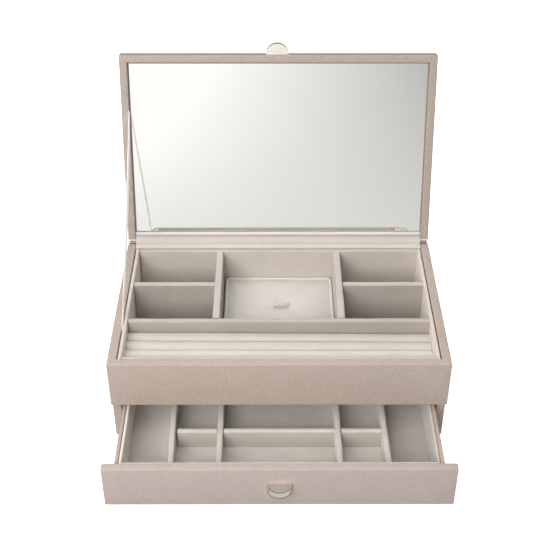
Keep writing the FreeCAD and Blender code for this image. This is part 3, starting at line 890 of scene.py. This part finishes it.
ribbon_low = Vector((-inner + 0.0002, FRONT + 0.0582, RIM_Z))
ribbon_high = lid_point(-rail_x + 0.0002, 0.1322, 0.0009)
run = (ribbon_high - ribbon_low).normalized()
ribbon_foot = ribbon_low - Vector((0, run.y, run.z)) * 0.009
across = Vector((0, -run.z, run.y)).normalized() * 0.004
bm = bmesh.new()
rings = []
lanes = (-1, -0.6, -0.2, 0.2, 0.6, 1)
for i in range(57):
    t = i / 56
    free = max(0.0, (t - 0.05) / 0.95)
    p = ribbon_foot.lerp(ribbon_low, t / 0.05) if t < 0.05 else ribbon_low.lerp(ribbon_high, free)
    bow = math.sin(math.pi * free)
    cup = 0.0011 * math.sqrt(bow)
    turn = -0.0003 * bow
    p = p + Vector((0.0008 * bow, 0.0, -0.0010 * bow))
    skin = Vector((0.00014, 0, 0))
    rings.append([bm.verts.new(p + across * c + Vector((turn * c - cup * (1 - c * c), 0, 0)) + skin * d)
                  for d, order in ((-1, lanes), (1, lanes[::-1])) for c in order])
for a, b in zip(rings, rings[1:]):
    for k in range(12):
        m = (k + 1) % 12
        bm.faces.new((a[k], a[m], b[m], b[k]))
bm.faces.new(rings[0])
bm.faces.new(rings[-1])
ribbon = add("ribbon_stay", from_bmesh("ribbon_stay", bm), ribbon_mat,
             nodes=["ribbon"], angle=40)
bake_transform(ribbon)

# ---------------------------------------------------------------- carried-over CAD nodes
for name, material in (("case_bottom", board_mat), ("mid_shelf", board_mat),
                       ("drawer_stop", board_mat), ("drawer_bottom", board_mat),
                       ("glide_strips", felt_mat), ("hinge_leaf_case", hinge_metal),
                       ("hinge_leaf_lid", hinge_metal), ("hinge_pin", steel),
                       ("hinge_screws_case", steel), ("hinge_screws_lid", steel),
                       ("lid_pull_screw", steel), ("drawer_pull_screw", steel)):
    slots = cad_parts[name].material_slots
    for each in slots:
        each.link = "OBJECT"
        each.material = material

# ---------------------------------------------------------------- floor, lights, camera
floor_mesh = bpy.data.meshes.new("floor")
floor_mesh.from_pydata([(-9, -9, 0), (9, -9, 0), (9, 9, 0), (-9, 9, 0)], [], [(0, 1, 2, 3)])
floor = bpy.data.objects.new("floor", floor_mesh)
bpy.context.collection.objects.link(floor)
material, tree, shader = nodes_of("floor_pale")
shader.inputs["Base Color"].default_value = (0.93, 0.93, 0.93, 1)
shader.inputs["Roughness"].default_value = 0.9
shader.inputs["Specular IOR Level"].default_value = 0.0
shader.inputs["Emission Color"].default_value = (1, 1, 1, 1)
shader.inputs["Emission Strength"].default_value = 1.0
floor_mesh.materials.append(material)
floor.visible_diffuse = floor.visible_glossy = floor.visible_shadow = False

# the white table close to the drawer, which only reflections show
glow_mesh = bpy.data.meshes.new("table_glow")
glow_mesh.from_pydata([(-0.3, -0.6, 0.0002), (0.3, -0.6, 0.0002), (0.3, -0.17, 0.0002),
                       (-0.3, -0.17, 0.0002)], [], [(0, 1, 2, 3)])
glow_plane = bpy.data.objects.new("table_glow", glow_mesh)
bpy.context.collection.objects.link(glow_plane)
material = bpy.data.materials.new("table_light")
material.use_nodes = True
tree = material.node_tree
tree.nodes.clear()
glow = node(tree, "ShaderNodeEmission", Color=(1.0, 0.99, 0.97, 1), Strength=0.72)
tree.links.new(glow.outputs[0], node(tree, "ShaderNodeOutputMaterial").inputs[0])
glow_mesh.materials.append(material)
glow_plane.visible_camera = glow_plane.visible_diffuse = glow_plane.visible_shadow = False

# a large pale card in front, which only reflections show
card_mesh = bpy.data.meshes.new("card")
card_mesh.from_pydata([(-3, -1.3, -0.5), (3, -1.3, -0.5), (3, -1.3, 2.6), (-3, -1.3, 2.6)], [],
                      [(0, 1, 2, 3)])
card = bpy.data.objects.new("card", card_mesh)
bpy.context.collection.objects.link(card)
material = bpy.data.materials.new("card_light")
material.use_nodes = True
tree = material.node_tree
tree.nodes.clear()
coords = node(tree, "ShaderNodeTexCoord")
split = node(tree, "ShaderNodeSeparateXYZ")
tree.links.new(coords.outputs["Object"], split.inputs[0])
CARD = (0.784, -0.259, 0.32, -2.21)  # its light in the middle, per metre right, per metre up, per both


def arithmetic(tree, operation, a, b):
    made = node(tree, "ShaderNodeMath", operation=operation)
    for socket, value in zip(made.inputs, (a, b)):
        if isinstance(value, bpy.types.NodeSocket):
            tree.links.new(value, socket)
        else:
            socket.default_value = value
    return made.outputs[0]


cross = arithmetic(tree, "MULTIPLY", split.outputs[0], split.outputs[2])
total = arithmetic(tree, "ADD", CARD[0], arithmetic(tree, "MULTIPLY", split.outputs[0], CARD[1]))
total = arithmetic(tree, "ADD", total, arithmetic(tree, "MULTIPLY", split.outputs[2], CARD[2]))
total = arithmetic(tree, "ADD", total, arithmetic(tree, "MULTIPLY", cross, CARD[3]))
total = arithmetic(tree, "MINIMUM", arithmetic(tree, "MAXIMUM", total, 0.45), 1.06)
glow = node(tree, "ShaderNodeEmission", Color=(1.0, 0.994, 0.958, 1))
out = node(tree, "ShaderNodeOutputMaterial")
tree.links.new(total, glow.inputs["Strength"])
tree.links.new(glow.outputs[0], out.inputs[0])
card_mesh.materials.append(material)
card.visible_camera = card.visible_diffuse = card.visible_shadow = False

# an even dim studio glow all round, stronger from the table below
world = bpy.data.worlds.new("studio")
bpy.context.scene.world = world
world.use_nodes = True
tree = world.node_tree
split = node(tree, "ShaderNodeSeparateXYZ")
tree.links.new(node(tree, "ShaderNodeTexCoord").outputs["Generated"], split.inputs[0])
below = arithmetic(tree, "MAXIMUM", arithmetic(tree, "MULTIPLY", split.outputs[2], -0.39), 0.0)
below = arithmetic(tree, "ADD", below, 0.197)
tree.nodes["Background"].inputs[0].default_value = (1, 1, 1, 1)
tree.links.new(below, tree.nodes["Background"].inputs[1])


def area_light(name, where, aim, size, power, colour=(1, 1, 1)):
    light = bpy.data.lights.new(name, "AREA")
    light.shape, light.size, light.energy, light.color = "SQUARE", size, power, colour
    lamp = bpy.data.objects.new(name, light)
    bpy.context.collection.objects.link(lamp)
    lamp.location = where
    lamp.rotation_euler = (Vector(aim) - Vector(where)).to_track_quat("-Z", "Y").to_euler()
    return lamp


area_light("front", (-0.4, -1.8, 1.15), (0, 0, 0.05), 0.9, 23.0)
area_light("key", (-0.55, -0.65, 0.62), (0, 0, 0.05), 0.4, 2.6)
area_light("side", (-0.9, 0.2, 1.0), (0, 0, 0.05), 0.5, 1.3)
area_light("top", (-0.2, -0.5, 1.3), (0, 0, 0.05), 0.7, 3.4)
area_light("right", (0.9, 0.2, 1.0), (0, 0, 0.05), 0.5, 1.6)
area_light("back", (0.0, 0.6, 1.3), (0, 0, 0.05), 0.7, 3.4)

camera_data = bpy.data.cameras.new("camera")
camera = bpy.data.objects.new("camera", camera_data)
bpy.context.collection.objects.link(camera)
camera_data.sensor_width = 36.0
camera_data.lens = 70.02
camera_data.clip_start = 0.05
camera.location = (-0.00647, -0.78337, 0.71091)
down, right, roll = (math.radians(a) for a in (36.936, 0.220, 0.084))
camera.rotation_euler = (Matrix.Rotation(-right, 3, "Z") @ Matrix.Rotation(math.pi / 2 - down, 3, "X")
                         @ Matrix.Rotation(roll, 3, "Z")).to_euler()
bpy.context.scene.camera = camera
bpy.context.scene.view_settings.view_transform = "Standard"
bpy.context.scene.view_settings.look = "None"
